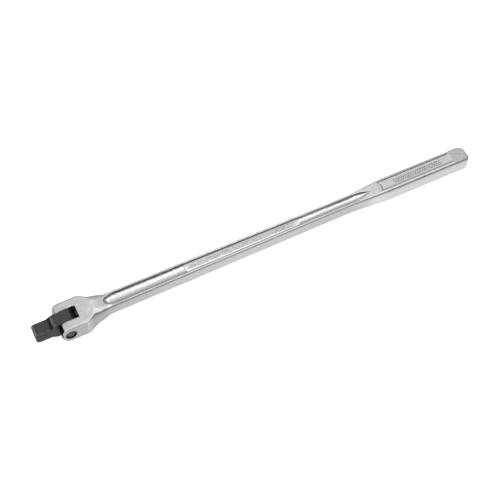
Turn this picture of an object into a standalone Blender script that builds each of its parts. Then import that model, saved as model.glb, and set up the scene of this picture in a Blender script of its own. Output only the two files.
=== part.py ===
"""Half-inch square drive breaker bar, 18 inches long, with a flexing drive head.

Frame: the bar lies along X on the plane z = 0, the square drive at -X and the grip at +X.
The hinge pin of the drive head runs along Y. The origin is at the middle of the bottom.
Every length is in metres.
"""

import math

import bmesh
import bpy
from mathutils import Matrix, Vector

MM = 0.001

# Driving sizes
OVERALL_LENGTH = 457.2 * MM
SQUARE = 12.7 * MM              # across the flats of the square drive
YOKE_HALF_WIDTH = 15.6 * MM
YOKE_HALF_THICK = 9.1 * MM
SHANK_HALF_WIDTH = (8.5 * MM, 6.75 * MM)     # at the neck, at the grip
SHANK_HALF_THICK = (5.9 * MM, 6.2 * MM)     # at the neck, at the grip
GRIP_HALF_WIDTH = 9.5 * MM
GRIP_HALF_THICK = 7.6 * MM

# Stations along the bar, measured from the tip of the square drive
PIN_AT = 29.8 * MM
EAR_REACH = 8.5 * MM            # from the pin's axis to the tips of the ears
EAR_TIP_AT = PIN_AT - EAR_REACH
SLOT_ROOT_AT = 41.5 * MM
SHOULDER_AT = 47.0 * MM         # where the yoke starts to narrow
NECK_AT = (55.0 * MM, 73.5 * MM)             # where the yoke's flat faces slope down to the shank
SHANK_THICKENS_AT = (105.0 * MM, 150.0 * MM)
FLUTE_START_AT = 67.0 * MM
FLUTE_END_AT = 344.5 * MM
BAND_AT = (147.0 * MM, 266.5 * MM)           # raised flat band in the flute
GRIP_BLEND_AT = (318.0 * MM, 366.0 * MM)
PANEL_AT = (355.5 * MM, 440.0 * MM)
END_ROUND = 6.5 * MM            # round end of the grip
END_WIDTH = 0.45                # share of the grip's width left on its flat end
END_THICKNESS = 0.72

# Sections
SHANK_EDGE_RADIUS = 1.0 * MM
GRIP_EDGE_RADIUS = 2.0 * MM
SHOULDER_SLOPE = 0.47           # how fast each side narrows behind the yoke
NECK_HALF_WIDTH = 11.5 * MM     # at the start of the neck
SHOULDER_SOFTNESS = 1.0 * MM
RIM = 2.25 * MM                 # flat rim on each side of the flute
FLUTE_NOSE = 13.0 * MM          # length of its round end by the yoke
FLUTE_TIP = 16.0 * MM           # length of its pointed end by the grip
FLUTE_DEPTH = 1.95 * MM
FLUTE_SHAPE = 2.3               # power of its hollow section: 2 is round, more is flatter
BAND_DEPTH = 1.0 * MM
PANEL_DEPTH = 1.0 * MM
PANEL_HALF_WIDTH = 5.1 * MM

# Clevis, head and pin
SLOT_HALF_WIDTH = 6.5 * MM
SLOT_MOUTH_RADIUS = 2.2 * MM
EAR_CORNER_RADIUS = 4.4 * MM
PIN_RADIUS = 4.0 * MM
PIN_HALF_LENGTH = 14.9 * MM
PIN_CHAMFER = 0.5 * MM
PRESS_BORE_RADIUS = 4.12 * MM
KNUCKLE_BORE_RADIUS = 4.2 * MM
COUNTERSINK_RADIUS = 5.2 * MM
COUNTERSINK_DEPTH = 1.0 * MM
TANG_LENGTH = 14.9 * MM
RAMP_END_AT = 20.3 * MM
KNUCKLE_HALF_THICK = 9.0 * MM
KNUCKLE_RADIUS = 11.0 * MM
GROOVE_RADIUS = 0.75 * MM
GROOVE_DEPTH = 0.45 * MM
GROOVE_STEP = 15.0              # degrees between the friction grooves
GROOVES_EACH_SIDE = 3

# Friction plunger behind the knuckle
PLUNGER_RADIUS = 2.3 * MM
PLUNGER_BORE_RADIUS = 2.5 * MM
PLUNGER_BORE_END_AT = 61.0 * MM
PLUNGER_NOSE_AT = PIN_AT + KNUCKLE_RADIUS + 0.3 * MM
PLUNGER_BODY = 9.0 * MM
PLUNGER_SPIGOT = (1.1 * MM, 3.0 * MM)        # radius and length of its spring guide

# Ball that holds the socket, in the +Y face of the square drive
BALL_AT = 8.0 * MM
BALL_RADIUS = 2.38 * MM
BALL_PROUD = 0.9 * MM
BALL_BORE_RADIUS = 2.6 * MM
BALL_LIP_RADIUS = 2.05 * MM
BALL_LIP = 0.9 * MM
BALL_BORE_BOTTOM = -3.3 * MM

GAP = 0.3 * MM

MIDDLE_Z = YOKE_HALF_THICK
HALF_LENGTH = OVERALL_LENGTH / 2


def clear_scene():
    for item in list(bpy.data.objects):
        bpy.data.objects.remove(item, do_unlink=True)


def smooth(value, start, end):
    """0 before start, 1 after end, and a smooth S between them."""
    t = min(1.0, max(0.0, (value - start) / (end - start)))
    return t * t * (3 - 2 * t)


def mix(a, b, t):
    return a + (b - a) * t


def soft_min(a, b, softness):
    """The lesser of two lengths, with a rounded change from one to the other."""
    h = max(softness - abs(a - b), 0.0) / softness
    return min(a, b) - h * h * softness / 4


def make_material(name, colour, metallic, roughness):
    material = bpy.data.materials.new(name)
    material.use_nodes = True
    shader = material.node_tree.nodes["Principled BSDF"]
    shader.inputs["Base Color"].default_value = (*colour, 1.0)
    shader.inputs["Metallic"].default_value = metallic
    shader.inputs["Roughness"].default_value = roughness
    return material


def make_object(name, bm, material, sharp_angle=30.0):
    """A new object at the world origin from a bmesh, shaded smooth up to sharp_angle."""
    bmesh.ops.remove_doubles(bm, verts=bm.verts, dist=1e-6)
    bmesh.ops.recalc_face_normals(bm, faces=bm.faces)
    mesh = bpy.data.meshes.new(name)
    bm.to_mesh(mesh)
    bm.free()
    mesh.shade_smooth()
    mesh.set_sharp_from_angle(angle=math.radians(sharp_angle))
    if material:
        mesh.materials.append(material)
    item = bpy.data.objects.new(name, mesh)
    bpy.context.scene.collection.objects.link(item)
    return item


def loft(rings):
    """Closed skin through rings of equally many points, capped at both ends."""
    bm = bmesh.new()
    loops = [[bm.verts.new(point) for point in ring] for ring in rings]
    count = len(rings[0])
    for first, second in zip(loops, loops[1:]):
        for i in range(count):
            j = (i + 1) % count
            bm.faces.new((first[i], first[j], second[j], second[i]))
    bm.faces.new(loops[0][::-1])
    bm.faces.new(loops[-1])
    return bm


def turned(profile, sides):
    """Solid of revolution about local Z from (radius, height) points, both ends on the axis or capped."""
    rings = []
    for radius, height in profile:
        ring = []
        for i in range(sides):
            angle = 2 * math.pi * i / sides
            ring.append(Vector((radius * math.cos(angle), radius * math.sin(angle), height)))
        rings.append(ring)
    return loft(rings)


def along(axis):
    """Rotation that takes local +Z to the given axis."""
    return Vector((0, 0, 1)).rotation_difference(Vector(axis)).to_matrix().to_4x4()


def place(item, at, axis=(0, 0, 1)):
    item.matrix_world = Matrix.Translation(at) @ along(axis)


def on_bar(station, y=0.0, z=0.0):
    """World point from a station along the bar and offsets from its centre line."""
    return Vector((station - HALF_LENGTH, y, MIDDLE_Z + z))


def cut(item, cutter):
    cutter.hide_render = True
    cutter.display_type = "WIRE"
    modifier = item.modifiers.new(cutter.name, "BOOLEAN")
    modifier.operation = "DIFFERENCE"
    modifier.solver = "EXACT"
    modifier.object = cutter


# ---------------------------------------------------------------- handle

def handle_half_width(x):
    taper = (x - NECK_AT[1]) / (GRIP_BLEND_AT[0] - NECK_AT[1])
    shank = mix(*SHANK_HALF_WIDTH, min(1.0, max(0.0, taper)))
    neck = mix(NECK_HALF_WIDTH, shank, smooth(x, *NECK_AT))
    shoulder = YOKE_HALF_WIDTH - SHOULDER_SLOPE * (x - SHOULDER_AT)
    width = soft_min(YOKE_HALF_WIDTH, max(neck, shoulder), SHOULDER_SOFTNESS)
    width = mix(width, GRIP_HALF_WIDTH, smooth(x, *GRIP_BLEND_AT))
    ear = min(1.0, (x - EAR_TIP_AT) / EAR_CORNER_RADIUS)
    width -= EAR_CORNER_RADIUS * (1 - math.sqrt(max(0.0, 1 - (1 - ear) ** 2)))
    end = min(1.0, (OVERALL_LENGTH - x) / END_ROUND)
    return width * mix(END_WIDTH, 1.0, 1 - (1 - end) ** 3)


def handle_half_thick(x):
    thick = mix(*SHANK_HALF_THICK, smooth(x, *SHANK_THICKENS_AT))
    thick = mix(YOKE_HALF_THICK, thick, smooth(x, *NECK_AT))
    thick = mix(thick, GRIP_HALF_THICK, smooth(x, *GRIP_BLEND_AT))
    if x < PIN_AT:
        ear = (PIN_AT - x) / EAR_REACH
        thick *= math.sqrt(max(0.0, 1 - ear * ear))
    end = min(1.0, (OVERALL_LENGTH - x) / END_ROUND)
    return thick * mix(END_THICKNESS, 1.0, 1 - (1 - end) ** 4)


def flute_half_width(x):
    """Half-width of the flute: a round nose at the yoke end and a pointed tip at the grip end."""
    full = handle_half_width(x) - RIM
    nose = min(1.0, (x - FLUTE_START_AT) / FLUTE_NOSE)
    tip = min(1.0, (FLUTE_END_AT - x) / FLUTE_TIP)
    if nose <= 0 or tip <= 0:
        return 0.0
    nose = math.sqrt(1 - (1 - nose) ** 2)
    tip = 1 - (1 - tip) ** 1.9
    return full * nose * tip


def flute_depth(x):
    depth = FLUTE_DEPTH * smooth(x, FLUTE_START_AT, FLUTE_START_AT + 7 * MM)
    depth *= smooth(-x, -FLUTE_END_AT, -FLUTE_END_AT + 16 * MM)
    band = smooth(x, BAND_AT[0] - 2 * MM, BAND_AT[0] + 1 * MM)
    band *= smooth(-x, -BAND_AT[1] - 2 * MM, -BAND_AT[1] + 1 * MM)
    return mix(depth, BAND_DEPTH, band)


def handle_section(x):
    """One cross-section, as points of a closed ring in the world frame."""
    width = handle_half_width(x)
    thick = handle_half_thick(x)
    radius = mix(SHANK_EDGE_RADIUS, GRIP_EDGE_RADIUS, smooth(x, *GRIP_BLEND_AT))
    radius = min(radius, 0.45 * thick)
    flute = flute_half_width(x)
    depth = flute_depth(x)
    if flute < 0.4 * MM:
        flute = 0.8 * (width - radius)
        depth = 0.0
    quarter = [(width, 0.0)]
    for step in range(4):
        turn = math.radians(30 * step)
        y = width - radius * (1 - math.cos(turn))
        z = thick - radius * (1 - math.sin(turn))
        quarter.append((y, z))
    for share in (1.0, 0.9, 0.72, 0.45, 0.2):
        quarter.append((flute * share, thick - depth * (1 - share ** FLUTE_SHAPE)))
    ring = list(quarter)
    ring.append((0.0, thick - depth))
    ring += [(-y, z) for y, z in reversed(quarter)]
    ring += [(-y, -z) for y, z in quarter[1:]]
    ring.append((0.0, depth - thick))
    ring += [(y, -z) for y, z in reversed(quarter[1:])]
    return [on_bar(x, y, z) for y, z in ring]


def handle_stations():
    """Stations of the sections, closer together where the shape changes quickly."""
    runs = (
        (EAR_TIP_AT + 0.02 * MM, EAR_TIP_AT + EAR_CORNER_RADIUS, 6, 2.0),
        (EAR_TIP_AT + EAR_CORNER_RADIUS, PIN_AT, 3, 1.0),
        (PIN_AT, SHOULDER_AT - 3 * MM, 1, 1.0),
        (SHOULDER_AT - 3 * MM, FLUTE_START_AT, 12, 1.0),
        (FLUTE_START_AT, FLUTE_START_AT + FLUTE_NOSE, 9, 1.5),
        (FLUTE_START_AT + FLUTE_NOSE, BAND_AT[0] - 2 * MM, 5, 1.0),
        (BAND_AT[0] - 2 * MM, BAND_AT[0] + 1 * MM, 3, 1.0),
        (BAND_AT[0] + 1 * MM, BAND_AT[1] - 1 * MM, 4, 1.0),
        (BAND_AT[1] - 1 * MM, BAND_AT[1] + 2 * MM, 3, 1.0),
        (BAND_AT[1] + 2 * MM, GRIP_BLEND_AT[0], 3, 1.0),
        (GRIP_BLEND_AT[0], FLUTE_END_AT, 9, 1.0),
        (FLUTE_END_AT, GRIP_BLEND_AT[1], 5, 1.0),
        (GRIP_BLEND_AT[1], OVERALL_LENGTH - END_ROUND, 2, 1.0),
        (OVERALL_LENGTH - END_ROUND, OVERALL_LENGTH, 6, 0.6),
    )
    stations = [runs[0][0]]
    for start, end, count, power in runs:
        for i in range(1, count + 1):
            stations.append(mix(start, end, (i / count) ** power))
    return stations


def slot_cutter():
    """The slot between the ears, with round corners at its mouth."""
    reach = 8 * MM
    centre = (EAR_TIP_AT + SLOT_MOUTH_RADIUS, SLOT_HALF_WIDTH + SLOT_MOUTH_RADIUS)
    side = [(SLOT_ROOT_AT, SLOT_HALF_WIDTH)]
    for step in range(7):
        angle = math.radians(-90 - 15 * step)
        side.append((centre[0] + SLOT_MOUTH_RADIUS * math.cos(angle),
                     centre[1] + SLOT_MOUTH_RADIUS * math.sin(angle)))
    side.append((EAR_TIP_AT - reach, centre[1]))
    outline = side + [(x, -y) for x, y in reversed(side)]
    rings = []
    for z in (-2 * YOKE_HALF_THICK, 2 * YOKE_HALF_THICK):
        rings.append([on_bar(x, y, z) for x, y in outline])
    return make_object("slot_cutter", loft(rings), None)


def ear_bore_cutter():
    """Bore for the pin through both ears, countersunk on both outer faces."""
    face = YOKE_HALF_WIDTH
    flare = COUNTERSINK_RADIUS - PRESS_BORE_RADIUS
    reach = 1 * MM
    wide = COUNTERSINK_RADIUS + flare * reach / COUNTERSINK_DEPTH
    profile = [
        (wide, -face - reach),
        (PRESS_BORE_RADIUS, -face + COUNTERSINK_DEPTH),
        (PRESS_BORE_RADIUS, face - COUNTERSINK_DEPTH),
        (wide, face + reach),
    ]
    cutter = make_object("ear_bore_cutter", turned(profile, 40), None)
    place(cutter, on_bar(PIN_AT), (0, 1, 0))
    return cutter


def plunger_bore_cutter():
    """Blind bore in the slot root, with the drill's cone at its end."""
    depth = PLUNGER_BORE_END_AT - SLOT_ROOT_AT
    profile = [
        (PLUNGER_BORE_RADIUS, -3 * MM),
        (PLUNGER_BORE_RADIUS, depth),
        (0.2 * MM, depth + 1.2 * MM),
    ]
    cutter = make_object("plunger_bore_cutter", turned(profile, 24), None)
    place(cutter, on_bar(SLOT_ROOT_AT), (1, 0, 0))
    return cutter


def panel_cutter(side):
    """The sunk rectangular panel in the grip, on the top (side 1) or the bottom (side -1)."""
    corners = []
    for x, y in ((0, -1), (1, -1), (1, 1), (0, 1)):
        corners.append((PANEL_AT[x], y * PANEL_HALF_WIDTH))
    rings = []
    for z in (GRIP_HALF_THICK - PANEL_DEPTH, GRIP_HALF_THICK + PANEL_DEPTH):
        rings.append([on_bar(x, y, side * z) for x, y in corners])
    return make_object("panel_cutter_top" if side > 0 else "panel_cutter_bottom", loft(rings), None)


def make_handle(material):
    handle = make_object("handle", loft([handle_section(x) for x in handle_stations()]), material)
    cut(handle, slot_cutter())
    cut(handle, ear_bore_cutter())
    cut(handle, plunger_bore_cutter())
    cut(handle, panel_cutter(1))
    cut(handle, panel_cutter(-1))
    return handle


# ---------------------------------------------------------------- drive head

def head_upper_outline():
    """Side view of the head above its centre line, from the drive tip to the knuckle's back."""
    half = SQUARE / 2
    chamfer = 0.9 * MM
    points = [(0.0, half - chamfer), (chamfer * 0.35, half - chamfer * 0.35), (chamfer, half)]
    points.append((TANG_LENGTH, half))
    for step in range(1, 5):
        t = step / 4
        rise = (KNUCKLE_HALF_THICK - half) * (0.25 * t * t + 0.75 * (1 - (1 - t) ** 2))
        points.append((mix(TANG_LENGTH, RAMP_END_AT, t), half + rise))
    start = math.degrees(math.asin(KNUCKLE_HALF_THICK / KNUCKLE_RADIUS))
    groove_half = math.degrees(GROOVE_RADIUS / KNUCKLE_RADIUS)
    angles = [start, (start + GROOVES_EACH_SIDE * GROOVE_STEP + groove_half) / 2]
    for number in range(GROOVES_EACH_SIDE, -1, -1):
        middle = number * GROOVE_STEP
        angles += [middle + groove_half, middle + groove_half / 2, middle]
        if number:
            angles += [middle - groove_half / 2, middle - groove_half, middle - GROOVE_STEP / 2]
    for angle in angles:
        offset = abs((angle + GROOVE_STEP / 2) % GROOVE_STEP - GROOVE_STEP / 2) / groove_half
        in_groove = angle < GROOVES_EACH_SIDE * GROOVE_STEP + groove_half
        dip = GROOVE_DEPTH * max(0.0, 1 - offset ** 2) if in_groove else 0.0
        reach = KNUCKLE_RADIUS - dip
        turn = math.radians(angle)
        points.append((PIN_AT + reach * math.cos(turn), reach * math.sin(turn)))
    return points


def detent_bore_cutter():
    """Blind bore for the ball, narrower at its mouth so that the ball can't fall out."""
    half = SQUARE / 2
    profile = [
        (0.2 * MM, BALL_BORE_BOTTOM - 1.3 * MM),
        (BALL_BORE_RADIUS, BALL_BORE_BOTTOM),
        (BALL_BORE_RADIUS, half - BALL_LIP),
        (BALL_LIP_RADIUS, half - 0.1 * MM),
        (BALL_LIP_RADIUS, half + 1 * MM),
    ]
    cutter = make_object("detent_bore_cutter", turned(profile, 24), None)
    place(cutter, on_bar(BALL_AT), (0, 1, 0))
    return cutter


def knuckle_bore_cutter():
    profile = [(KNUCKLE_BORE_RADIUS, -SQUARE), (KNUCKLE_BORE_RADIUS, SQUARE)]
    cutter = make_object("knuckle_bore_cutter", turned(profile, 40), None)
    place(cutter, on_bar(PIN_AT), (0, 1, 0))
    return cutter


def make_drive_head(material, hinge):
    """Square drive and knuckle in one piece: the side view pushed across, with its edges broken."""
    upper = head_upper_outline()
    outline = upper + [(x, -z) for x, z in reversed(upper[:-1])]
    half = SQUARE / 2
    edge = 0.5 * MM
    rings = []
    for y, inset in ((-half, edge), (-half + edge, 0.0), (half - edge, 0.0), (half, edge)):
        ring = []
        for x, z in outline:
            centre = min(max(x, 6 * MM), PIN_AT)
            radial = Vector((x - centre, 0, z))
            ring.append(on_bar(centre, y, 0) + radial * (1 - inset / radial.length))
        rings.append(ring)
    head = make_object("drive_head", loft(rings), material)
    cut(head, knuckle_bore_cutter())
    cut(head, detent_bore_cutter())
    hang_on(head, hinge)
    return head


def hang_on(item, parent):
    """Parent without moving the item."""
    bpy.context.view_layer.update()
    placed = item.matrix_world.copy()
    item.parent = parent
    item.matrix_parent_inverse = parent.matrix_world.inverted()
    item.matrix_world = placed


def make_hinge():
    """Empty on the axis that the drive head turns about."""
    hinge = bpy.data.objects.new("head_hinge", None)
    bpy.context.scene.collection.objects.link(hinge)
    place(hinge, on_bar(PIN_AT), (0, 1, 0))
    bpy.context.view_layer.update()
    return hinge


# ---------------------------------------------------------------- pin, plunger, ball and springs

def make_pivot_pin(material):
    profile = [
        (PIN_RADIUS - PIN_CHAMFER, -PIN_HALF_LENGTH),
        (PIN_RADIUS, -PIN_HALF_LENGTH + PIN_CHAMFER),
        (PIN_RADIUS, PIN_HALF_LENGTH - PIN_CHAMFER),
        (PIN_RADIUS - PIN_CHAMFER, PIN_HALF_LENGTH),
    ]
    pin = make_object("pivot_pin", turned(profile, 40), material)
    place(pin, on_bar(PIN_AT), (0, 1, 0))
    return pin


def make_friction_plunger(material):
    """Domed plunger with a spigot that guides its spring."""
    profile = []
    for step in range(7):
        angle = math.radians(2 + 88 * step / 6)
        profile.append((PLUNGER_RADIUS * math.sin(angle), PLUNGER_RADIUS * (1 - math.cos(angle))))
    spigot_radius, spigot_length = PLUNGER_SPIGOT
    profile += [
        (PLUNGER_RADIUS, PLUNGER_BODY),
        (spigot_radius, PLUNGER_BODY),
        (spigot_radius, PLUNGER_BODY + spigot_length),
    ]
    plunger = make_object("friction_plunger", turned(profile, 24), material)
    place(plunger, on_bar(PLUNGER_NOSE_AT), (1, 0, 0))
    return plunger


def spring_mesh(radius, wire, length, turns):
    """Coil spring along local Z: a round wire swept along a helix, with close end turns."""
    sides = 6
    steps = int(turns * 16)
    rings = []
    for step in range(steps + 1):
        t = step / steps
        dead = 0.75 / turns
        rise = min(1.0, max(0.0, (t - dead) / (1 - 2 * dead)))
        height = wire * (0.5 + 1.05 * (min(t, dead) + max(0.0, t - 1 + dead)) * turns)
        height += rise * (length - wire * (1 + 2.1 * dead * turns))
        angle = 2 * math.pi * turns * t
        out = Vector((math.cos(angle), math.sin(angle), 0))
        ring = []
        for side in range(sides):
            turn = 2 * math.pi * side / sides
            point = out * (radius + wire / 2 * math.cos(turn))
            point.z = height + wire / 2 * math.sin(turn)
            ring.append(point)
        rings.append(ring)
    return loft(rings)


def make_friction_spring(material):
    start = PLUNGER_NOSE_AT + PLUNGER_BODY + GAP
    length = PLUNGER_BORE_END_AT - GAP - start
    spring = make_object("friction_spring", spring_mesh(1.8 * MM, 0.7 * MM, length, 6.5), material)
    place(spring, on_bar(start), (1, 0, 0))
    return spring


def ball_centre_y():
    return SQUARE / 2 + BALL_PROUD - BALL_RADIUS


def make_detent_ball(material, hinge):
    bm = bmesh.new()
    bmesh.ops.create_uvsphere(bm, u_segments=20, v_segments=12, radius=BALL_RADIUS)
    ball = make_object("detent_ball", bm, material, 60.0)
    place(ball, on_bar(BALL_AT, ball_centre_y()), (0, 1, 0))
    hang_on(ball, hinge)
    return ball


def make_detent_spring(material, hinge):
    start = BALL_BORE_BOTTOM + GAP
    length = ball_centre_y() - BALL_RADIUS - GAP - start
    spring = make_object("detent_spring", spring_mesh(1.6 * MM, 0.45 * MM, length, 5.5), material)
    place(spring, on_bar(BALL_AT, start), (0, 1, 0))
    hang_on(spring, hinge)
    return spring


def main():
    clear_scene()
    plated = make_material("nickel_chrome", (0.78, 0.78, 0.76), 1.0, 0.28)
    black = make_material("black_oxide", (0.035, 0.034, 0.037), 0.85, 0.42)
    pin_steel = make_material("dark_pin_steel", (0.06, 0.06, 0.065), 0.9, 0.35)
    bright = make_material("bright_steel", (0.6, 0.6, 0.6), 1.0, 0.2)
    spring_steel = make_material("spring_steel", (0.32, 0.32, 0.33), 1.0, 0.35)
    hinge = make_hinge()
    make_handle(plated)
    make_pivot_pin(pin_steel)
    make_drive_head(black, hinge)
    make_friction_plunger(bright)
    make_friction_spring(spring_steel)
    make_detent_ball(bright, hinge)
    make_detent_spring(spring_steel, hinge)


main()
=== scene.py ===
"""Looks of the half-inch drive breaker bar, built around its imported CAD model.

The shapes are solid fields, meshed on a grid: a field is negative inside the steel, in millimetres,
with x measured along the bar from the tip of the square drive, y across, and z up from the middle plane.
"""

import math

import bmesh
import bpy
import numpy as np
from mathutils import Matrix, Vector


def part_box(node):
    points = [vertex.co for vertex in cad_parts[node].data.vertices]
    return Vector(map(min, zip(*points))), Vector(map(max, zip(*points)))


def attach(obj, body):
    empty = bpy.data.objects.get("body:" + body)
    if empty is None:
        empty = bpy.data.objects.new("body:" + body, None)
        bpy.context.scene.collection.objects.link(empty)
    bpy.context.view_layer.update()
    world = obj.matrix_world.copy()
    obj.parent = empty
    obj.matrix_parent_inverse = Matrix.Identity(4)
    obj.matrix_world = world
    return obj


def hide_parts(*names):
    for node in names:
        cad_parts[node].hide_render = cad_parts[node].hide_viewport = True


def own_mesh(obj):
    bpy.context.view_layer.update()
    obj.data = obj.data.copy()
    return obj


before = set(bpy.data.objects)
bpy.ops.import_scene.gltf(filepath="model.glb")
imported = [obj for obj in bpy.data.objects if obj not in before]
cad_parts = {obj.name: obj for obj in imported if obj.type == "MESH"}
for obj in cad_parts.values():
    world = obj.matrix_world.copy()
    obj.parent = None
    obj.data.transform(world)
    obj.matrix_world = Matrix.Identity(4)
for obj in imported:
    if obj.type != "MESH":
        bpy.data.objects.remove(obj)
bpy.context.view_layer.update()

MM = 0.001


# ---------------------------------------------------------------- sizes, read from the frame

def middle(node):
    """The middle of a CAD node's box."""
    low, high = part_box(node)
    return (low + high) / 2


HEAD_LOW, HEAD_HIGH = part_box("drive_head")
BAR_LOW, BAR_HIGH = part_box("handle")
PIN_LOW, PIN_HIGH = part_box("pivot_pin")
TIP_X = HEAD_LOW.x
MID_Z = middle("handle").z

LENGTH = (BAR_HIGH.x - TIP_X) / MM
PIN_AT = (middle("pivot_pin").x - TIP_X) / MM
YOKE_HALF_WIDTH = BAR_HIGH.y / MM
YOKE_HALF_THICK = (BAR_HIGH.z - BAR_LOW.z) / MM / 2
EAR_TIP_AT = (BAR_LOW.x - TIP_X) / MM
HALF_SQUARE = HEAD_HIGH.y / MM
KNUCKLE_HALF_THICK = (HEAD_HIGH.z - HEAD_LOW.z) / MM / 2
GROOVE_DEPTH = 0.45
KNUCKLE_RADIUS = (HEAD_HIGH.x - TIP_X) / MM - PIN_AT + GROOVE_DEPTH
PIN_RADIUS = (PIN_HIGH.z - PIN_LOW.z) / MM / 2
PIN_HALF_LENGTH = PIN_HIGH.y / MM

# Yoke
SLOT_HALF_WIDTH = HALF_SQUARE + 0.15
SLOT_ROOT_AT = PIN_AT + KNUCKLE_RADIUS + 0.7
SLOT_MOUTH_RADIUS = 2.2
SLOT_ROOT_RADIUS = 0.7
EAR_CORNER = 4.4
SHOULDER_AT = 47.0
SHOULDER_SLOPE = 0.47
SHOULDER_ROUND = 0.8
SHOULDER_BEVEL = 1.8
PRESS_BORE_RADIUS = PIN_RADIUS + 0.12
COUNTERSINK_RADIUS = 5.2
COUNTERSINK_DEPTH = 1.0
PLUNGER_BORE_RADIUS = 2.5
PLUNGER_BORE_END = 61.0

# Neck, shank and grip; a pair is the value or the place at each end of a run
NECK = (55.0, 73.5)
NECK_HALF_WIDTH = 11.5
SHANK_HALF_WIDTH = (8.5, 6.75)
SHANK_HALF_THICK = (5.9, 6.2)
SHANK_THICKENS = (105.0, 150.0)
GRIP_BLEND = (318.0, 366.0)
GRIP_HALF_WIDTH = 9.5
GRIP_HALF_THICK = 7.6
GRIP_CORNER = 6.5
YOKE_EDGE_RADIUS = 0.3
SHANK_EDGE_RADIUS = 1.3
GRIP_EDGE_RADIUS = 2.0

# Flutes, the raised bands in them, and the sunk panels in the grip; FLUTE_SHAPE is the power of the
# flute's cross-section, and FLUTE_RISE the power by which it gets deeper as it gets wider
FLUTE = (67.0, 344.5)
FLUTE_DEPTH = 1.95
FLUTE_FULL_WIDTH = 4.5
FLUTE_SHAPE = (2.6, 1.9)
FLUTE_RISE = (1.6, 0.8)
FLUTE_NOSE = 12.0
FLUTE_TIP = 18.0
RIM = 2.25
BAND = (147.0, 266.5)
BAND_DEPTH = 1.0
BAND_WALL_SLOPE = 0.714
BAND_BOW = 1.6
PANEL = (355.5, 440.0)
PANEL_MIDDLE = sum(PANEL) / 2
PANEL_HALF_WIDTH = 6.1
PANEL_OFFSET = 0.7
PANEL_DEPTH = 1.0
PANEL_WALL_SLOPE = 1.35
PANEL_BOW = 2.4

# Head
TANG_LENGTH = 14.9
TANG_TIP_RADIUS = 3.2
TANG_EDGE_RADIUS = 0.9
KNUCKLE_EDGE_RADIUS = 0.45
RAMP_END = 20.3
GROOVE_STEP = 15.0
GROOVE_HALF_ANGLE = 4.0
GROOVES_EACH_SIDE = 3
KNUCKLE_BORE_RADIUS = PIN_RADIUS + 0.2
BALL_AT = (middle("detent_ball").x - TIP_X) / MM
BALL_BORE_RADIUS = 2.6
BALL_LIP_RADIUS = 2.05
BALL_BORE_BOTTOM = -3.3


def to_frame(points):
    """Metres in the frame from millimetres along the bar."""
    return points * MM + np.array([TIP_X, 0.0, MID_Z])


# ---------------------------------------------------------------- solid fields

def smooth(value, start, end):
    """A soft step from 0 to 1 between two values."""
    t = np.clip((value - start) / (end - start), 0.0, 1.0)
    return t * t * (3 - 2 * t)


def mix(a, b, t):
    return a + (b - a) * t


def both(a, b, radius):
    """Where both shapes are, with their shared edge rounded off."""
    corner = np.hypot(np.maximum(a + radius, 0), np.maximum(b + radius, 0))
    return np.minimum(np.maximum(a, b), -radius) + corner


def either(a, b, radius):
    """Where either shape is, with a fillet between them."""
    return -both(-a, -b, radius)


def bevelled(a, b, leg, radius):
    """Where both shapes are, with a flat bevel along their shared edge and rounds beside it."""
    return both(both(a, b, radius), (a + b + leg) / math.sqrt(2), radius)


def across(offset, outline, x):
    """Distance past an outline that varies along the bar."""
    reach = 0.05
    slope = (outline(x + reach) - outline(x - reach)) / (2 * reach)
    return (offset - outline(x)) / np.sqrt(1 + slope * slope)


def lattice(i, j, k, seed):
    """A repeatable number from 0 to 1 for each whole-number point."""
    n = i * 374761393 + j * 668265263 + k * 2147483647 + seed * 1274126177
    n = (n ^ (n >> 13)) & 0xFFFFFFFF
    n = (n * 1103515245 + 12345) & 0xFFFFFFFF
    n = (n ^ (n >> 16)) & 0xFFFF
    return n / 65535.0


def waves(x, y, z, size, seed):
    """Smooth noise from -1 to 1 with lumps of about the given size."""
    corner, share = [], []
    for value in (x, y, z):
        whole = np.floor(value / size)
        t = value / size - whole
        corner.append(whole.astype(np.int64))
        share.append(t * t * (3 - 2 * t))
    total = 0.0
    for a in (0, 1):
        for b in (0, 1):
            for c in (0, 1):
                weight = (share[0] if a else 1 - share[0]) * (share[1] if b else 1 - share[1])
                weight = weight * (share[2] if c else 1 - share[2])
                total = total + weight * lattice(corner[0] + a, corner[1] + b, corner[2] + c, seed)
    return 2 * total - 1


# ---------------------------------------------------------------- handle

def rounding(a, b, soft):
    """How far the corner where two outlines cross is rounded off."""
    return np.maximum(soft - np.abs(a - b), 0) ** 2 / soft / 4


def half_width(x):
    """Half the bar's width, from the yoke over its shoulder and neck to the grip."""
    shank = mix(*SHANK_HALF_WIDTH, np.clip((x - NECK[1]) / (GRIP_BLEND[0] - NECK[1]), 0, 1))
    neck = mix(shank, NECK_HALF_WIDTH, smooth(-x, -NECK[1], -NECK[0]))
    shoulder = YOKE_HALF_WIDTH - SHOULDER_SLOPE * (x - SHOULDER_AT)
    behind = np.maximum(neck, shoulder) + rounding(neck, shoulder, SHOULDER_ROUND)
    width = np.minimum(behind, YOKE_HALF_WIDTH) - rounding(behind, YOKE_HALF_WIDTH, SHOULDER_ROUND)
    return mix(width, GRIP_HALF_WIDTH, smooth(x, *GRIP_BLEND))


def half_thick(x):
    """Half the bar's thickness between its flat faces."""
    thick = mix(*SHANK_HALF_THICK, smooth(x, *SHANK_THICKENS))
    thick = mix(thick, YOKE_HALF_THICK, smooth(-x, -NECK[1], -NECK[0]))
    return mix(thick, GRIP_HALF_THICK, smooth(x, *GRIP_BLEND))


def edge_bevel(x):
    """Bevel behind the yoke's shoulder, between the flat face and the slanting side."""
    return SHOULDER_BEVEL * np.clip((x - SHOULDER_AT) / 8.5, 0, 1) * smooth(-x, -64.0, -56.5)


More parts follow.
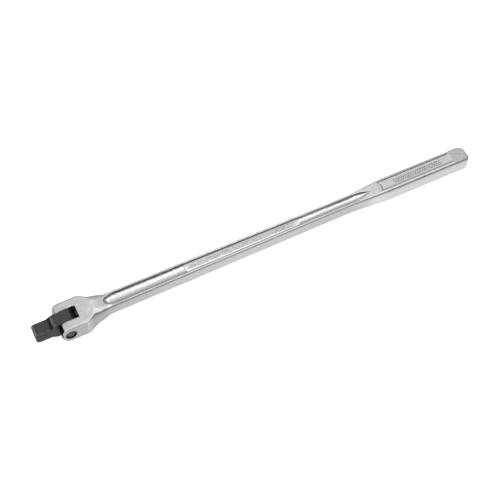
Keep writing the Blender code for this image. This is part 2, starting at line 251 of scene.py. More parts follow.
def edge_radius(x):
    """Round between the flat faces and the sides, largest at the neck and on the grip."""
    shank = mix(YOKE_EDGE_RADIUS, SHANK_EDGE_RADIUS, smooth(x, SHOULDER_AT, 58.0))
    neck = 0.5 * smooth(x, 55.0, 60.0) * smooth(-x, -72.0, -62.0)
    return mix(shank + neck, GRIP_EDGE_RADIUS, smooth(x, *GRIP_BLEND))


def crown(x, ay):
    """How far the flat faces fall away towards their edges, on the neck and a little on the yoke."""
    neck = 0.5 * smooth(x, 53.0, 60.0) * smooth(-x, -78.0, -69.0) * smooth(ay, 4.6, 8.8)
    yoke = 0.2 * smooth(-x, -53.0, -46.0) * smooth(ay - half_width(x), -1.8, -0.3)
    return neck + yoke


def flute_half_width(x):
    """Half the flute's width, with a round nose towards the yoke and a pointed tip towards the grip."""
    nose = np.clip((x - FLUTE[0]) / FLUTE_NOSE, 0, 1)
    tip = np.clip((FLUTE[1] - x) / FLUTE_TIP, 0, 1)
    nose = np.sqrt(1 - (1 - nose) ** 2)
    return (half_width(x) - RIM) * nose * (1 - (1 - tip) ** 1.9)


def flute_field(x, y, az):
    """The hollow of the flute, with a flat, shallower band along its middle."""
    width = np.maximum(flute_half_width(x), 0.05)
    thick = half_thick(x)
    rise = mix(*FLUTE_RISE, smooth(x, FLUTE[0], BAND[0]))
    deep = FLUTE_DEPTH * np.clip(width / FLUTE_FULL_WIDTH, 0, 1) ** rise
    shape = mix(*FLUTE_SHAPE, smooth(x, *BAND))
    share = np.minimum(np.abs(y) / width, 2.0)
    slope = deep * shape / width * share ** (shape - 1)
    hollow = (thick - az - deep * (1 - share ** shape)) / np.sqrt(1 + slope * slope)
    outside = np.maximum(FLUTE[0] - x, x - FLUTE[1])
    hollow = np.where(outside > 0, 0.3 + outside, hollow)
    bow = BAND_BOW * (np.abs(y) / 5.0) ** 2
    ends = np.maximum(BAND[0] + bow - x, x - BAND[1])
    fall = 0.2 * smooth(np.abs(y), width - 3.1, width - 1.8)
    wall = (np.abs(y) - width) * BAND_WALL_SLOPE + thick - az
    tray = both(wall, thick - az - BAND_DEPTH - fall, 0.15)
    plain = both(hollow, -ends, 0.3)
    return either(plain, both(tray, ends, 0.1), 0.15)


def panel_field(x, y, az):
    """The sunk panel in the grip."""
    half_length = (PANEL[1] - PANEL[0]) / 2
    depth = half_thick(x) - az
    y = y - PANEL_OFFSET
    bow = np.where(x < PANEL_MIDDLE, PANEL_BOW * (1 - (y / PANEL_HALF_WIDTH) ** 2), 0.0)
    end = (np.abs(x - PANEL_MIDDLE) - half_length + bow + depth) / math.sqrt(2)
    side = np.abs(y) - PANEL_HALF_WIDTH + PANEL_WALL_SLOPE * depth
    side = side / math.hypot(1, PANEL_WALL_SLOPE)
    return both(both(end, side, 0.6), depth - PANEL_DEPTH, 0.25)


def forged(x, y, z):
    """Slight unevenness that forging leaves on the outer faces."""
    return 0.035 * waves(x, y, z, 7.0, 3) + 0.02 * waves(x, y, z, 3.1, 8)


def handle_field(x, y, z):
    """The forging: its plan and its side view met, then the slot, bores, flutes and panels cut away."""
    ay, az = np.abs(y), np.abs(z)
    from_pin = np.hypot(x - PIN_AT, z)
    ear = np.hypot((x - PIN_AT) * YOKE_HALF_THICK / (PIN_AT - EAR_TIP_AT), z)
    plan = both(across(ay, half_width, x), EAR_TIP_AT - x, EAR_CORNER)
    plan = both(plan, x - LENGTH, GRIP_CORNER)
    side = np.where(x < PIN_AT, ear - YOKE_HALF_THICK, across(az, half_thick, x))
    side = side + crown(x, ay)
    solid = bevelled(plan, side, edge_bevel(x), edge_radius(x))
    solid = solid + forged(x, y, z)
    wall = both(SLOT_HALF_WIDTH - ay, EAR_TIP_AT - x, SLOT_MOUTH_RADIUS)
    solid = both(solid, either(wall, SLOT_ROOT_AT - x, SLOT_ROOT_RADIUS), 0.45)
    flare = np.clip((ay - YOKE_HALF_WIDTH + COUNTERSINK_DEPTH) / COUNTERSINK_DEPTH, 0, 2)
    bore = PRESS_BORE_RADIUS + (COUNTERSINK_RADIUS - PRESS_BORE_RADIUS) * flare
    solid = both(solid, bore - from_pin, 0.15)
    bore_end = np.abs(x - SLOT_ROOT_AT) - (PLUNGER_BORE_END - SLOT_ROOT_AT)
    plunger_bore = both(np.hypot(y, z) - PLUNGER_BORE_RADIUS, bore_end, 0.2)
    solid = both(solid, -plunger_bore, 0.2)
    solid = both(solid, -flute_field(x, y, az), 0.3)
    return both(solid, -panel_field(x, y, az), 0.25)


# ---------------------------------------------------------------- drive head

def head_half_thick(x):
    """Half the thickness of the head, with the rounded ramp from the tang up to the knuckle."""
    rise = np.clip((x - TANG_LENGTH) / (RAMP_END - TANG_LENGTH), 0, 1)
    rise = 0.25 * rise * rise + 0.75 * (1 - (1 - rise) ** 2)
    return HALF_SQUARE + (KNUCKLE_HALF_THICK - HALF_SQUARE) * rise


def head_field(x, y, z):
    """The square tang and the knuckle, with the click grooves in its back and the two bores."""
    ay, az = np.abs(y), np.abs(z)
    from_pin = np.hypot(x - PIN_AT, z)
    angle = np.degrees(np.arctan2(az, x - PIN_AT))
    off = np.abs((angle + GROOVE_STEP / 2) % GROOVE_STEP - GROOVE_STEP / 2) / GROOVE_HALF_ANGLE
    dip = GROOVE_DEPTH * np.clip(1 - off * off, 0, 1)
    dip = np.where(angle < GROOVES_EACH_SIDE * GROOVE_STEP + GROOVE_HALF_ANGLE, dip, 0)
    back = np.where(x > PIN_AT, from_pin - KNUCKLE_RADIUS + dip, -3.0)
    outline = both(across(az, head_half_thick, x), back, 0.25)
    outline = both(outline, -x, TANG_TIP_RADIUS)
    edge = mix(TANG_EDGE_RADIUS, KNUCKLE_EDGE_RADIUS, smooth(x, TANG_LENGTH - 2, RAMP_END))
    solid = both(outline, ay - HALF_SQUARE, edge)
    solid = solid + 0.015 * waves(x, y, z, 3.3, 5)
    solid = both(solid, KNUCKLE_BORE_RADIUS - from_pin, 0.2)
    lip = smooth(y, HALF_SQUARE - 0.9, HALF_SQUARE - 0.15)
    bore = mix(BALL_BORE_RADIUS, BALL_LIP_RADIUS, lip)
    hollow = both(np.hypot(x - BALL_AT, z) - bore, BALL_BORE_BOTTOM - y, 0.3)
    return both(solid, -hollow, 0.1)


# ---------------------------------------------------------------- meshing

def steps(*runs):
    """Grid stations from (start, end, step) runs that follow one another."""
    stations = [np.array([runs[0][0]])]
    for start, end, step in runs:
        count = max(1, round((end - start) / step))
        stations.append(np.linspace(start, end, count + 1)[1:])
    return np.concatenate(stations)


def crossing_points(values, axes, shape):
    """One point for each grid cell that the surface passes through: the mean of its crossings."""
    total = np.zeros(shape + (3,))
    count = np.zeros(shape)
    grids = np.meshgrid(*axes, indexing="ij")
    for axis in range(3):
        first = tuple(slice(0, -1) if a == axis else slice(None) for a in range(3))
        second = tuple(slice(1, None) if a == axis else slice(None) for a in range(3))
        low, high = values[first], values[second]
        cut = (low < 0) != (high < 0)
        t = np.where(cut, low / np.where(cut, low - high, 1), 0)
        places = []
        for a in range(3):
            start = grids[a][first]
            places.append(start + t * (grids[a][second] - start) if a == axis else start)
        others = [a for a in range(3) if a != axis]
        for u in (0, 1):
            for v in (0, 1):
                window = [slice(None)] * 3
                for a, shift in zip(others, (u, v)):
                    window[a] = slice(shift, shift + shape[a])
                window = tuple(window)
                hit = cut[window]
                count += hit
                for a in range(3):
                    total[..., a] += np.where(hit, places[a][window], 0)
    used = count > 0
    return used, total[used] / count[used][:, None]


def surface_quads(values, index):
    """Quads between the cells around each grid edge that crosses the surface, facing outwards."""
    inside = values < 0
    quads = []
    for axis in range(3):
        u, v = (axis + 1) % 3, (axis + 2) % 3
        first = [slice(1, -1)] * 3
        second = [slice(1, -1)] * 3
        first[axis] = slice(0, -1)
        second[axis] = slice(1, None)
        a, b = inside[tuple(first)], inside[tuple(second)]
        places = np.argwhere(a != b)
        outward = a[a != b]
        corners = []
        for du, dv in ((0, 0), (1, 0), (1, 1), (0, 1)):
            cell = places.copy()
            cell[:, u] += du
            cell[:, v] += dv
            corners.append(index[cell[:, 0], cell[:, 1], cell[:, 2]])
        faces = np.stack(corners, 1)
        faces[~outward] = faces[~outward][:, ::-1]
        quads.append(faces)
    return np.concatenate(quads)


def slope_of(field, points):
    """The field's slope at each point."""
    reach = 0.02
    slope = np.zeros_like(points)
    for a in range(3):
        ahead, behind = points.copy(), points.copy()
        ahead[:, a] += reach
        behind[:, a] -= reach
        slope[:, a] = (field(*ahead.T) - field(*behind.T)) / (2 * reach)
    return slope


def link_mesh(name, mesh):
    piece = bpy.data.objects.new(name, mesh)
    bpy.context.scene.collection.objects.link(piece)
    return piece


def solid_from_field(name, field, axes):
    """A closed mesh drawn onto the field's surface, with the field's own normals."""
    values = field(*np.meshgrid(*axes, indexing="ij"))
    shape = tuple(n - 1 for n in values.shape)
    used, points = crossing_points(values, axes, shape)
    index = np.full(shape, -1)
    index[used] = np.arange(len(points))
    quads = surface_quads(values, index)
    for _ in range(3):
        slope = slope_of(field, points)
        size = np.maximum((slope * slope).sum(1), 0.05)
        move = (field(*points.T) / size)[:, None] * slope
        points -= np.clip(move, -0.12, 0.12)
    slope = slope_of(field, points)
    normals = slope / np.maximum(np.linalg.norm(slope, axis=1), 1e-6)[:, None]
    mesh = bpy.data.meshes.new(name)
    mesh.from_pydata(to_frame(points).tolist(), [], quads.tolist())
    mesh.validate()
    mesh.shade_smooth()
    mesh.normals_split_custom_set_from_vertices(normals.tolist())
    return link_mesh(name, mesh), points, normals


def paint(piece, name, values):
    """Store a number from 0 to 1 at each vertex, for the material to read."""
    layer = piece.data.attributes.new(name, "FLOAT", "POINT")
    layer.data.foreach_set("value", np.clip(values, 0, 1).astype(np.float32))


def make_handle():
    """Mesh the handle, with grid stations close together where its shape changes quickly."""
    axes = (
        steps((EAR_TIP_AT - 0.8, 66.0, 0.42), (66.0, 82.0, 0.6), (82.0, 145.5, 1.6), (145.5, 149.5, 0.4),
              (149.5, 265.5, 1.7), (265.5, 267.5, 0.4), (267.5, 318.0, 1.6), (318.0, 345.0, 0.8),
              (345.0, 357.0, 0.8), (357.0, 359.0, 0.33), (359.0, 438.6, 1.6), (438.6, 441.0, 0.33),
              (441.0, 450.0, 0.8), (450.0, LENGTH + 0.8, 0.4)),
        steps((-YOKE_HALF_WIDTH - 0.8, YOKE_HALF_WIDTH + 0.8, 0.4)),
        steps((-YOKE_HALF_THICK - 0.6, YOKE_HALF_THICK + 0.6, 0.36)),
    )
    handle, points, normals = solid_from_field("forged_handle", handle_field, axes)
    paint_handle(handle, points.T, normals.T)
    return handle


def paint_handle(handle, place, normal):
    """Mark where the plate is polished, darkened with painted shade, shaded, lightened with painted sheen,
    or pebbled.
    """
    x, y, z = place
    ay, az = np.abs(y), np.abs(z)
    facing_y = np.abs(normal[1])
    hollow = flute_field(x, y, az)
    flute_edge = flute_half_width(x)
    in_band = (x > BAND[0] - 0.5) & (x < BAND[1] + 0.5) & (az > half_thick(x) - BAND_DEPTH - 0.4)
    in_flute = smooth(-hollow, -0.25, -0.02)
    paint(handle, "polish", np.where(in_band & (ay < flute_edge - 1.4), 0.0, in_flute))

    # Painted shade: the countersink ring, the slot's root and the near ear's front are darkened to near
    # black.
    countersink = np.hypot(x - PIN_AT, z) < COUNTERSINK_RADIUS + 0.12
    slot_root = smooth(-x, -SLOT_ROOT_AT - 0.5, -SLOT_ROOT_AT - 0.1) * (ay < SLOT_HALF_WIDTH - 0.1)
    near_ear = smooth(-ay, -15.2, -14.2) * (x < PIN_AT) * (y < 0)
    near_ear_front = smooth(-normal[0], 0.5, 0.66) * near_ear
    paint(handle, "dark", np.maximum(np.maximum(countersink, slot_root), near_ear_front))

    grip_end = smooth(x, PANEL[1] - 0.8, PANEL[1] - 0.2) * (az > 4.5)
    neck_side = smooth(x, 49.0, 54.0) * smooth(-x, -76.0, -64.0) * smooth(facing_y, 0.5, 0.8)
    paint(handle, "shade", np.maximum(0.5 * grip_end, neck_side))

    # Painted sheen: the grip's sides, and more faintly the band's floor, are lightened towards a brighter
    # plate colour.
    grip_side = smooth(x, 330.0, 352.0) * smooth(facing_y, 0.75, 0.95)
    band_floor = in_band * (ay < flute_edge - 2.4)
    paint(handle, "painted_sheen", np.maximum(grip_side, 0.55 * band_floor))

    off_panel = (panel_field(x, y, az) > 0.15) * (x < PANEL_MIDDLE)
    before_panel = smooth(x, 336.0, 348.0) * off_panel * (ay < 5.5)
    pebbled = np.maximum(0.8 * before_panel, grip_end)
    paint(handle, "pebble", pebbled * (az > 5.0) * (hollow > 0.2))


def make_head():
    """Mesh the head, and mark its worn edges and the painted shade on its ramp and back."""
    axes = (
        steps((-0.7, PIN_AT + KNUCKLE_RADIUS + 0.7, 0.38)),
        steps((-HALF_SQUARE - 0.6, HALF_SQUARE + 0.6, 0.38)),
        steps((-KNUCKLE_HALF_THICK - 0.6, KNUCKLE_HALF_THICK + 0.6, 0.38)),
    )
    head, points, normals = solid_from_field("flex_head", head_field, axes)
    nx, ny, nz = np.abs(normals.T)
    paint(head, "wear", 3 * nz * np.maximum(nx, ny) - 0.5)
    x, _, z = points.T
    # Painted shade: the ramp up to the knuckle and the knuckle's back are darkened.
    ramp = smooth(x, TANG_LENGTH - 0.4, TANG_LENGTH + 0.1) * smooth(-x, -18.2, -17.0)
    back = smooth(np.hypot(x - PIN_AT, z), KNUCKLE_RADIUS - 0.9, KNUCKLE_RADIUS - 0.5) * (x > PIN_AT)
    paint(head, "head_painted_shade", np.maximum(ramp * (np.abs(z) > HALF_SQUARE - 0.5), back))
    return head


# ---------------------------------------------------------------- turned and coiled pieces

def link_bmesh(name, bm, sharp_angle=35.0):
    """Put a finished bmesh in the scene, smooth except at its sharp edges."""
    bmesh.ops.recalc_face_normals(bm, faces=bm.faces)
    mesh = bpy.data.meshes.new(name)
    bm.to_mesh(mesh)
    bm.free()
    mesh.shade_smooth()
    mesh.set_sharp_from_angle(angle=math.radians(sharp_angle))
    return link_mesh(name, mesh)


def join_rings(bm, rings):
    """Add a closed skin over rings of points that follow one another."""
    loops = [[bm.verts.new(point) for point in ring] for ring in rings]
    count = len(rings[0])
    for first, second in zip(loops, loops[1:]):
        for i in range(count):
            j = (i + 1) % count
            bm.faces.new((first[i], first[j], second[j], second[i]))
    bm.faces.new(loops[0][::-1])
    bm.faces.new(loops[-1])


def solid_from_rings(name, rings, sharp_angle=35.0):
    bm = bmesh.new()
    join_rings(bm, rings)
    return link_bmesh(name, bm, sharp_angle)


def turned(name, profile, at, axis, sides=72):
    """Solid turned about an axis, from (radius, height) points in millimetres."""
    turn = Vector((0, 0, 1)).rotation_difference(Vector(axis)).to_matrix()
    rings = []
    for radius, height in profile:
        ring = []
        for i in range(sides):
            angle = 2 * math.pi * i / sides
            point = Vector((radius * math.cos(angle), radius * math.sin(angle), height))
            ring.append(at + turn @ point * MM)
        rings.append(ring)
    return solid_from_rings(name, rings)


def rounded(profile, radius):
    """The same turned profile with each inner corner replaced by a short arc."""
    arc_steps = 4
    points = [Vector(p) for p in profile]
    out = [points[0]]
    for before, corner, after in zip(points, points[1:], points[2:]):
        one, two = before - corner, after - corner
        cut = min(radius, one.length * 0.45, two.length * 0.45)
        start, end = corner + one.normalized() * cut, corner + two.normalized() * cut
        for i in range(arc_steps + 1):
            t = i / arc_steps
            out.append((1 - t) ** 2 * start + 2 * t * (1 - t) * corner + t * t * end)
    out.append(points[-1])
    return [tuple(p) for p in out]


def make_pin():
    """Cross pin with broken edges and a shallow stake mark in each end."""
    half = PIN_HALF_LENGTH
    profile = rounded([
        (0.02, -half + 0.35), (0.9, -half + 0.3), (1.5, -half + 0.02), (PIN_RADIUS - 0.5, -half),
        (PIN_RADIUS, -half + 0.5), (PIN_RADIUS, half - 0.5), (PIN_RADIUS - 0.5, half),
        (1.5, half - 0.02), (0.9, half - 0.3), (0.02, half - 0.35),
    ], 0.25)
    return turned("cross_pin", profile, middle("pivot_pin"), (0, 1, 0), 96)


def make_plunger():
    """Domed plunger with a thin stem that carries its spring."""
    low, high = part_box("friction_plunger")
    radius = (high.z - low.z) / MM / 2
    length = (high.x - low.x) / MM
    body, stem = 9.0, 1.1
    profile = []
    for i in range(15):
        angle = math.radians(0.5 + 89.5 * i / 14)
        profile.append((radius * math.sin(angle), radius * (1 - math.cos(angle))))
    profile += rounded([
        (radius, radius), (radius, body), (stem, body), (stem, length), (0.02, length),
    ], 0.2)
    at = Vector((low.x, 0, MID_Z))
    return turned("plunger", profile, at, (1, 0, 0), 64)


def make_spring(name, node, axis, wire, turns):
    """Coil spring with closed end turns, in the place of its CAD node."""
    low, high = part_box(node)
    long_side = max(range(3), key=lambda a: abs(axis[a]))
    length = (high - low)[long_side] / MM
    radius = (high.z - low.z) / MM / 2 - wire / 2
    start = (low + high) / 2
    start[long_side] = low[long_side]
    start.z = middle(node).z
    turn = Vector((0, 0, 1)).rotation_difference(Vector(axis)).to_matrix()
    dead = 0.75  # closed turns at each end
    count = int(turns * 36)
    rings = []
    for step in range(count + 1):
        at = turns * step / count
        rise = min(1.0, max(0.0, (at - dead) / (turns - 2 * dead)))
        height = wire * (0.5 + 1.02 * (min(at, dead) + max(0.0, at - turns + dead)))
        height += rise * (length - wire * (1 + 2.04 * dead))
        angle = 2 * math.pi * at
        out = Vector((math.cos(angle), math.sin(angle), 0))
        ring = []
        for side in range(12):
            bend = 2 * math.pi * side / 12
            lift = Vector((0, 0, height + wire / 2 * math.sin(bend)))
            point = out * (radius + wire / 2 * math.cos(bend)) + lift
            ring.append(start + turn @ point * MM)
        rings.append(ring)
    return solid_from_rings(name, rings, 50)


def compress(spring):
    """Give a spring its own copy of its mesh."""
    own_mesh(spring)


def make_ball():
    low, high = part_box("detent_ball")
    bm = bmesh.new()
    bmesh.ops.create_uvsphere(bm, u_segments=48, v_segments=24, radius=(high.z - low.z) / 2)
    bmesh.ops.translate(bm, verts=bm.verts, vec=(low + high) / 2)
    return link_bmesh("socket_ball", bm, 60)


# ---------------------------------------------------------------- raised ornament

def add_stud(bm, centre, size, height, base, side):
    """A low pyramid on a diamond base, standing on the top or bottom face."""
    rings = []
    for grow, level in ((1.0, -0.15), (0.9, height * 0.15), (0.12, height)):
        ring = []
        for step in range(16):
            angle = 2 * math.pi * step / 16
            reach = 1 / (abs(math.cos(angle)) + abs(math.sin(angle)))
            point = (centre[0] + size[0] / 2 * grow * reach * math.cos(angle),
                     centre[1] + size[1] / 2 * grow * reach * math.sin(angle),
                     side * (base + level))
            ring.append(to_frame(np.array(point)))
        rings.append(ring)
    join_rings(bm, rings)


def make_studs(name, run, pitch, row_gap, offset, depth, lengths, widths, heights):
    """Three staggered rows of small uneven studs on a sunk face, on top and underneath.

    run is where the rows start and end, pitch the gap along a row, and depth how far the face is sunk;
    lengths, widths and heights are the least and most of each stud's size.
    """
    bm = bmesh.new()
    for side in (1, -1):
        for row in (-1, 0, 1):
            for number in range(int((run[1] - run[0]) / pitch)):
                chance = float(lattice(np.int64(number), np.int64(row + 5), np.int64(side + 5), 21))
                x = run[0] + pitch * (number + 0.5 * (row % 2))
                base = float(half_thick(np.array([x]))[0]) - depth
                size = (mix(*lengths, chance), mix(*widths, chance))
                add_stud(bm, (x, offset + row * row_gap), size, mix(*heights, chance), base, side)
    return link_bmesh(name, bm, 50)


# ---------------------------------------------------------------- materials

PLATE_LIGHT = (0.57, 0.57, 0.56)
PLATE_GREY = (0.53, 0.52, 0.51)
PLATE_POLISHED = (0.60, 0.605, 0.61)
PLATE_SHADED = (0.45, 0.443, 0.44)
# The next colour is a painted sheen, and the one after it painted shade for recesses.
PLATE_PAINTED_SHEEN = (0.71, 0.705, 0.70)
PAINTED_SHADE_BLACK = (0.004, 0.004, 0.004)
HEAD_BLACK = (0.05, 0.047, 0.053)
PIN_BLACK = (0.09, 0.088, 0.095)
GROUND_GREY = (0.62, 0.61, 0.6)
WIRE_GREY = (0.3, 0.3, 0.31)


def new_material(name):
    material = bpy.data.materials.new(name)
    material.use_nodes = True
    tree = material.node_tree
    return material, tree, tree.nodes["Principled BSDF"]


def node(tree, kind, **settings):
    made = tree.nodes.new(kind)
    for key, value in settings.items():
        setattr(made, key, value)
    return made


def texture(tree, kind, **inputs):
    """A texture node over the object's own coordinates."""
    where = node(tree, "ShaderNodeTexCoord")
    made = node(tree, kind)
    for name, number in inputs.items():
        made.inputs[name].default_value = number
    tree.links.new(where.outputs["Object"], made.inputs["Vector"])
    return made


def noise(tree, scale, detail=3.0, roughness=0.55):
    made = texture(tree, "ShaderNodeTexNoise", Scale=scale, Detail=detail, Roughness=roughness)
    return made.outputs["Fac"]


def remap(tree, value, *limits):
    """Rescale a value; the limits are from-low, from-high, to-low, to-high."""
    made = node(tree, "ShaderNodeMapRange")
    for name, number in zip(("From Min", "From Max", "To Min", "To Max"), limits):
        made.inputs[name].default_value = number
    tree.links.new(value, made.inputs["Value"])
    return made.outputs["Result"]


def math_node(tree, operation, first, second):
    made = node(tree, "ShaderNodeMath", operation=operation)
    for socket, value in zip(made.inputs, (first, second)):
        if isinstance(value, (int, float)):
            socket.default_value = value
        else:
            tree.links.new(value, socket)
    return made.outputs["Value"]


def mix_colour(tree, share, first, second):
    made = node(tree, "ShaderNodeMix", data_type="RGBA")
    tree.links.new(share, made.inputs["Factor"])
    for name, value in (("A", first), ("B", second)):
        socket = [s for s in made.inputs if s.name == name and s.type == "RGBA"][0]
        if isinstance(value, tuple):
            socket.default_value = (*value, 1.0)
        else:
            tree.links.new(value, socket)
    return [s for s in made.outputs if s.type == "RGBA"][0]


def bump(tree, height, strength, distance, below=None):
    made = node(tree, "ShaderNodeBump")
    made.inputs["Distance"].default_value = distance
    tree.links.new(height, made.inputs["Height"])
    if isinstance(strength, (int, float)):
        made.inputs["Strength"].default_value = strength
    else:
        tree.links.new(strength, made.inputs["Strength"])
    if below:
        tree.links.new(below, made.inputs["Normal"])
    return made.outputs["Normal"]


def attribute(tree, name):
    made = node(tree, "ShaderNodeAttribute", attribute_name=name)
    return made.outputs["Fac"]


def plated_steel():
    """Nickel-chrome plate over a forged skin: mottled and satin, bright where it was polished first."""
    material, tree, shader = new_material("plated_forging")
    polish, dark, shade, painted_sheen, pebble = (
        attribute(tree, name) for name in ("polish", "dark", "shade", "painted_sheen", "pebble"))
    cloud = remap(tree, noise(tree, 170.0, 4.0), 0.35, 0.65, 0, 1)
    colour = mix_colour(tree, cloud, PLATE_LIGHT, PLATE_GREY)
    # Polish is the plate's own finish; the lighter mix is painted sheen and the near-black mix painted
    # shade in recesses.
    for share, shown in ((polish, PLATE_POLISHED), (shade, PLATE_SHADED),
                         (painted_sheen, PLATE_PAINTED_SHEEN), (dark, PAINTED_SHADE_BLACK)):
        colour = mix_colour(tree, share, colour, shown)
    tree.links.new(colour, shader.inputs["Base Color"])
    shader.inputs["Metallic"].default_value = 1.0

    satin = remap(tree, noise(tree, 420.0, 3.0), 0.3, 0.7, 0.24, 0.38)
    rough = math_node(tree, "SUBTRACT", satin, math_node(tree, "MULTIPLY", polish, 0.17))
    rough = math_node(tree, "ADD", rough, math_node(tree, "MULTIPLY", shade, 0.1))
    tree.links.new(rough, shader.inputs["Roughness"])

    strength = math_node(tree, "SUBTRACT", 0.36, math_node(tree, "MULTIPLY", polish, 0.02))
    rippled = math_node(tree, "MULTIPLY", polish, 0.5)
    pebbled = math_node(tree, "MULTIPLY", pebble, 0.95)
    cells = texture(tree, "ShaderNodeTexVoronoi", Scale=700.0).outputs["Distance"]
    normal = bump(tree, noise(tree, 330.0, 2.0), strength, 0.00035)
    normal = bump(tree, noise(tree, 700.0, 2.0), rippled, 0.0004, normal)
    normal = bump(tree, noise(tree, 1500.0, 3.0, 0.6), strength, 0.00008, normal)
    normal = bump(tree, cells, pebbled, 0.00045, normal)
    tree.links.new(normal, shader.inputs["Normal"])
    return material


def scaled(colour, factor):
    return tuple(c * factor for c in colour)


def black_oxide(name, shade, roughness):
    """Black-oxide finish on machined steel: lighter where it has rubbed, and darkened with painted shade
    where that is marked.
    """
    material, tree, shader = new_material(name)
    cloud = remap(tree, noise(tree, 260.0, 4.0), 0.3, 0.7, 0, 1)
    rubbed = math_node(tree, "MULTIPLY", attribute(tree, "wear"), remap(tree, cloud, 0, 1, 0.5, 1.0))
    coat = mix_colour(tree, cloud, shade, scaled(shade, 1.5))
    coat = mix_colour(tree, rubbed, coat, scaled(shade, 4.5))
    # Painted shade: the coat is darkened where painted shade is marked.
    coat = mix_colour(tree, attribute(tree, "head_painted_shade"), coat, scaled(shade, 0.2))
    tree.links.new(coat, shader.inputs["Base Color"])
    shader.inputs["Metallic"].default_value = 0.75
    rough = remap(tree, noise(tree, 700.0, 3.0), 0.3, 0.7, *roughness)
    tree.links.new(rough, shader.inputs["Roughness"])
    tree.links.new(bump(tree, noise(tree, 1300.0, 3.0), 0.25, 0.0001), shader.inputs["Normal"])
    return material


def bare_steel(name, shade, roughness, scale):
    """Ground or drawn steel with fine marks."""
    material, tree, shader = new_material(name)
    marks = noise(tree, scale, 3.0)
    tree.links.new(mix_colour(tree, marks, shade, scaled(shade, 0.85)), shader.inputs["Base Color"])
    shader.inputs["Metallic"].default_value = 1.0
    rough = remap(tree, marks, 0.3, 0.7, roughness * 0.8, roughness * 1.3)
    tree.links.new(rough, shader.inputs["Roughness"])
    tree.links.new(bump(tree, marks, 0.15, 0.00005), shader.inputs["Normal"])
    return material


def dress(piece, material, body, slot, *nodes):
    """Give a piece its material and its body, and hide the CAD nodes that it stands for; slot is not used.
    """
    piece.data.materials.clear()
    piece.data.materials.append(material)
    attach(piece, body)
    if nodes:
        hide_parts(*nodes)


# ---------------------------------------------------------------- stage

VIEW_AZIMUTH = -26.27
VIEW_ELEVATION = 54.18
VIEW_ROLL = -0.76
VIEW_DISTANCE = 0.8954
VIEW_TARGET = Vector((TIP_X + 0.2119, -0.0051, MID_Z))
SENSOR = 36.0
LENS = 68.66
FLOOR_HALF_SIZE = 80.0


def make_camera():
    """Camera at the set angle and distance from its target, a little rolled."""
    data = bpy.data.cameras.new("camera")
    data.sensor_width = SENSOR
    data.lens = LENS
    data.clip_start = 0.01
    data.clip_end = 200.0
    camera = bpy.data.objects.new("camera", data)
    bpy.context.scene.collection.objects.link(camera)
    turn, rise = math.radians(VIEW_AZIMUTH), math.radians(VIEW_ELEVATION)
    back = Vector((math.sin(turn) * math.cos(rise), -math.cos(turn) * math.cos(rise), math.sin(rise)))
    right = Vector((math.cos(turn), math.sin(turn), 0))
    facing = Matrix((right, back.cross(right), back)).transposed()
    roll = Matrix.Rotation(math.radians(VIEW_ROLL), 3, "Z")
    place = Matrix.Translation(VIEW_TARGET + back * VIEW_DISTANCE)
    camera.matrix_world = place @ (facing @ roll).to_4x4()
    bpy.context.scene.camera = camera


def make_floor():
    """White table that glows a little, and that the metal doesn't reflect."""
    bm = bmesh.new()
    bmesh.ops.create_grid(bm, x_segments=1, y_segments=1, size=FLOOR_HALF_SIZE)
    floor = link_bmesh("floor", bm)
    floor.location.z = BAR_LOW.z
    material, _, shader = new_material("pale_floor")
    shader.inputs["Base Color"].default_value = (0.82, 0.82, 0.82, 1)
    shader.inputs["Roughness"].default_value = 0.9
    shader.inputs["Specular IOR Level"].default_value = 0.1
    shader.inputs["Emission Color"].default_value = (1, 1, 1, 1)
    shader.inputs["Emission Strength"].default_value = 0.82
    floor.data.materials.append(material)
    floor.visible_glossy = False


def make_softbox(name, at, size, power):
    """Soft rectangular light that points at the bar's middle."""
    light = bpy.data.lights.new(name, "AREA")
    light.shape = "RECTANGLE"
    light.size, light.size_y = size
    light.energy = power
    lamp = bpy.data.objects.new(name, light)
    lamp.location = at
    lamp.rotation_euler = (-Vector(at)).to_track_quat("-Z", "Y").to_euler()
    bpy.context.scene.collection.objects.link(lamp)


# Brightness around the bar, by degrees: 0 is the far horizon, 90 straight up, 180 the near horizon
ROOM_AROUND = (
    (-180, 0.86), (-150, 0.8), (-136, 0.95), (-124, 1.07), (-90, 1.0), (-60, 0.7), (-25, 0.66), (-5, 0.42),
    (10, 0.42), (25, 0.6), (40, 0.84), (54, 0.97), (62, 1.35), (76, 1.6), (94, 1.62), (103, 0.16),
    (128, 0.13), (144, 0.3), (156, 0.7), (180, 0.86),
)
# Brightness along the bar, by how far a direction leans towards +X
ROOM_ALONG = (
    (-1.0, 1.3), (-0.6, 1.1), (-0.3, 0.8), (0.08, 0.76), (0.2, 1.18), (0.31, 1.18), (0.4, 0.85),
    (0.48, 0.85), (0.56, 1.1), (0.7, 0.65), (1.0, 0.5),
)


def ramp_through(tree, value, stops):
    """Colour ramp through (place from 0 to 1, shade) stops."""
    ramp = node(tree, "ShaderNodeValToRGB")
    tree.links.new(value, ramp.inputs["Fac"])
    while len(ramp.color_ramp.elements) < len(stops):
        ramp.color_ramp.elements.new(0.5)
    for element, (place, shade) in zip(ramp.color_ramp.elements, stops):
        element.position = place
        element.color = (shade, shade, shade * 1.01, 1)
    return ramp.outputs["Color"]


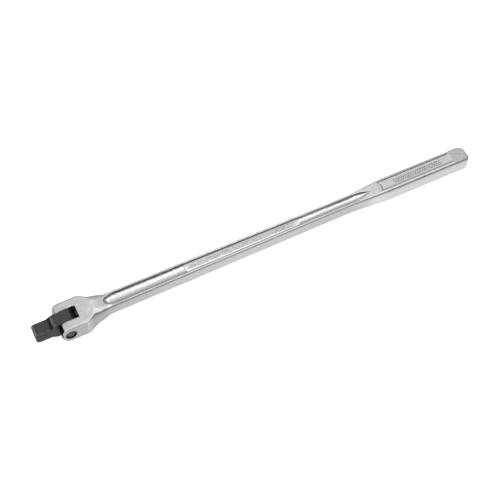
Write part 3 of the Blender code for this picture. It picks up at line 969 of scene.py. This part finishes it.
def make_world():
    """A pale room, brightest above the bar, with a dark strip along it high on the near side."""
    world = bpy.data.worlds.new("studio")
    bpy.context.scene.world = world
    world.use_nodes = True
    tree = world.node_tree
    background = tree.nodes["Background"]
    where = node(tree, "ShaderNodeTexCoord")
    parts = node(tree, "ShaderNodeSeparateXYZ")
    tree.links.new(where.outputs["Generated"], parts.inputs["Vector"])
    angle = math_node(tree, "ARCTAN2", parts.outputs["Z"], parts.outputs["Y"])
    share = remap(tree, angle, -math.pi, math.pi, 0.0, 1.0)
    shade = ramp_through(tree, share, [(place / 360 + 0.5, shade) for place, shade in ROOM_AROUND])
    tree.links.new(shade, background.inputs["Color"])
    lean = remap(tree, parts.outputs["X"], -1.0, 1.0, 0.0, 1.0)
    strength = ramp_through(tree, lean, [(place / 2 + 0.5, shade) for place, shade in ROOM_ALONG])
    tree.links.new(strength, background.inputs["Strength"])


# ---------------------------------------------------------------- build

make_camera()
make_floor()
make_softbox("overhead_softbox", at=(0.3, 0.1, 1.2), size=(1.4, 0.3), power=0.8)
make_world()
bpy.context.scene.view_settings.view_transform = "Standard"

plate = plated_steel()
oxide = black_oxide("black_oxide", HEAD_BLACK, (0.38, 0.55))
pin_oxide = black_oxide("pin_oxide", PIN_BLACK, (0.35, 0.5))
ground = bare_steel("ground_steel", GROUND_GREY, roughness=0.22, scale=900.0)
wire = bare_steel("spring_wire", WIRE_GREY, roughness=0.35, scale=1500.0)

dress(make_handle(), plate, "bar", "nickel_chrome", "handle")
dress(make_head(), oxide, "head", "black_oxide", "drive_head")
dress(make_pin(), pin_oxide, "bar", "dark_pin_steel", "pivot_pin")
dress(make_plunger(), ground, "plunger", "bright_steel", "friction_plunger")
dress(make_ball(), ground, "ball", "bright_steel", "detent_ball")
plunger_spring = make_spring("plunger_spring", "friction_spring", (1, 0, 0), wire=0.7, turns=6.5)
dress(plunger_spring, wire, "bar", "spring_steel", "friction_spring")
compress(plunger_spring)
ball_spring = make_spring("ball_spring", "detent_spring", (0, 1, 0), wire=0.45, turns=5.5)
dress(ball_spring, wire, "head", "spring_steel", "detent_spring")
compress(ball_spring)

band_studs = make_studs("shank_ornament", run=(BAND[0] + 4.0, BAND[1] - 3.0), pitch=1.75, row_gap=1.6,
                        offset=0.0, depth=BAND_DEPTH, lengths=(1.2, 2.0), widths=(1.4, 2.0),
                        heights=(0.25, 0.6))
panel_studs = make_studs("grip_ornament", run=(373.0, 428.0), pitch=2.75, row_gap=2.1,
                         offset=PANEL_OFFSET, depth=PANEL_DEPTH, lengths=(2.2, 2.7), widths=(2.2, 2.6),
                         heights=(0.45, 0.65))
dress(band_studs, plate, "bar", "nickel_chrome")
dress(panel_studs, plate, "bar", "nickel_chrome")
